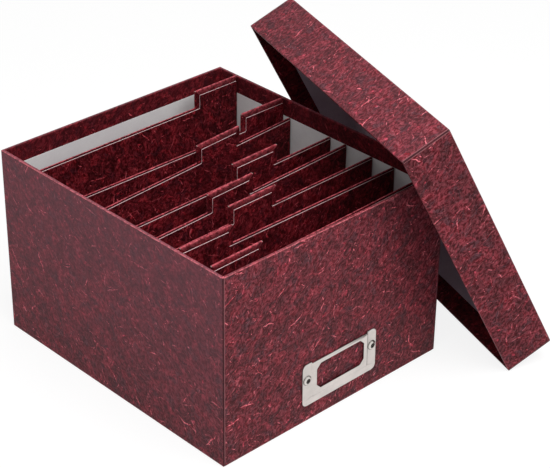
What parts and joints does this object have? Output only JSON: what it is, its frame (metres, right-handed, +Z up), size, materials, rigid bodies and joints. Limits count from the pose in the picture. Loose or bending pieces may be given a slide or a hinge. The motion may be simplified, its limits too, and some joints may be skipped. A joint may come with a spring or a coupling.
{
  "type": "photo storage box",
  "caption": "Rigid paper-covered photo storage box with loose tabbed index dividers, a metal label holder and a lift-off tray lid leaning on its corner.",
  "frame": {"origin": "middle of the box's underside, where it stands", "axes": "+X along the front from left to right, +Y from the front to the rear, +Z up"},
  "size_m": [0.3225, 0.2889, 0.2005],
  "materials": {
    "greyboard": "matt grey board",
    "fibre_paper": "mottled maroon fibre paper with scattered lighter fibres",
    "divider_paper": "deep red fibre paper with pale cut edges",
    "lining_paper": "plain pale grey lining paper",
    "nickel": "satin nickel plate"
  },
  "bodies": {
    "box": {"box_floor_board": "greyboard", "box_front_board": "greyboard", "box_rear_board": "greyboard", "box_left_board": "greyboard", "box_right_board": "greyboard", "box_wrap": "fibre_paper", "box_base_sheet": "fibre_paper", "box_wall_lining": "lining_paper", "box_floor_lining": "lining_paper", "label_holder": "nickel", "label_rivet_left": "nickel", "label_rivet_right": "nickel"},
    "divider_1": {"divider_1_board": "greyboard", "divider_1_wrap": "divider_paper", "divider_1_facing": "divider_paper"},
    "divider_2": {"divider_2_board": "greyboard", "divider_2_wrap": "divider_paper", "divider_2_facing": "divider_paper"},
    "divider_3": {"divider_3_board": "greyboard", "divider_3_wrap": "divider_paper", "divider_3_facing": "divider_paper"},
    "divider_4": {"divider_4_board": "greyboard", "divider_4_wrap": "divider_paper", "divider_4_facing": "divider_paper"},
    "divider_5": {"divider_5_board": "greyboard", "divider_5_wrap": "divider_paper", "divider_5_facing": "divider_paper"},
    "divider_6": {"divider_6_board": "greyboard", "divider_6_wrap": "divider_paper", "divider_6_facing": "divider_paper"},
    "divider_7": {"divider_7_board": "greyboard", "divider_7_wrap": "divider_paper", "divider_7_facing": "divider_paper"},
    "divider_8": {"divider_8_board": "greyboard", "divider_8_wrap": "divider_paper", "divider_8_facing": "divider_paper"},
    "lid": {"lid_panel_board": "greyboard", "lid_front_board": "greyboard", "lid_rear_board": "greyboard", "lid_left_board": "greyboard", "lid_right_board": "greyboard", "lid_wrap": "fibre_paper", "lid_lining": "lining_paper"}
  },
  "joints": [
    {"name": "divider_1_slide", "type": "slide", "parent": "box", "child": "divider_1", "axis": [0, 1, 0], "range_m": [-0.0232, 0.0173]},
    {"name": "divider_2_slide", "type": "slide", "parent": "box", "child": "divider_2", "axis": [0, 1, 0], "range_m": [-0.0027, 0.0232]},
    {"name": "divider_3_slide", "type": "slide", "parent": "box", "child": "divider_3", "axis": [0, 1, 0], "range_m": [-0.0143, 0.0027]},
    {"name": "divider_4_slide", "type": "slide", "parent": "box", "child": "divider_4", "axis": [0, 1, 0], "range_m": [-0.0066, 0.0143]},
    {"name": "divider_5_slide", "type": "slide", "parent": "box", "child": "divider_5", "axis": [0, 1, 0], "range_m": [-0.0081, 0.0066]},
    {"name": "divider_6_slide", "type": "slide", "parent": "box", "child": "divider_6", "axis": [0, 1, 0], "range_m": [-0.0077, 0.0081]},
    {"name": "divider_7_slide", "type": "slide", "parent": "box", "child": "divider_7", "axis": [0, 1, 0], "range_m": [-0.0105, 0.0077]},
    {"name": "divider_8_slide", "type": "slide", "parent": "box", "child": "divider_8", "axis": [0, 1, 0], "range_m": [-0.0103, 0.0105]},
    {"name": "lid_lift", "type": "slide", "parent": "box", "child": "lid", "axis": [0, 0, 1], "range_m": [0, 0.16]}
  ]
}
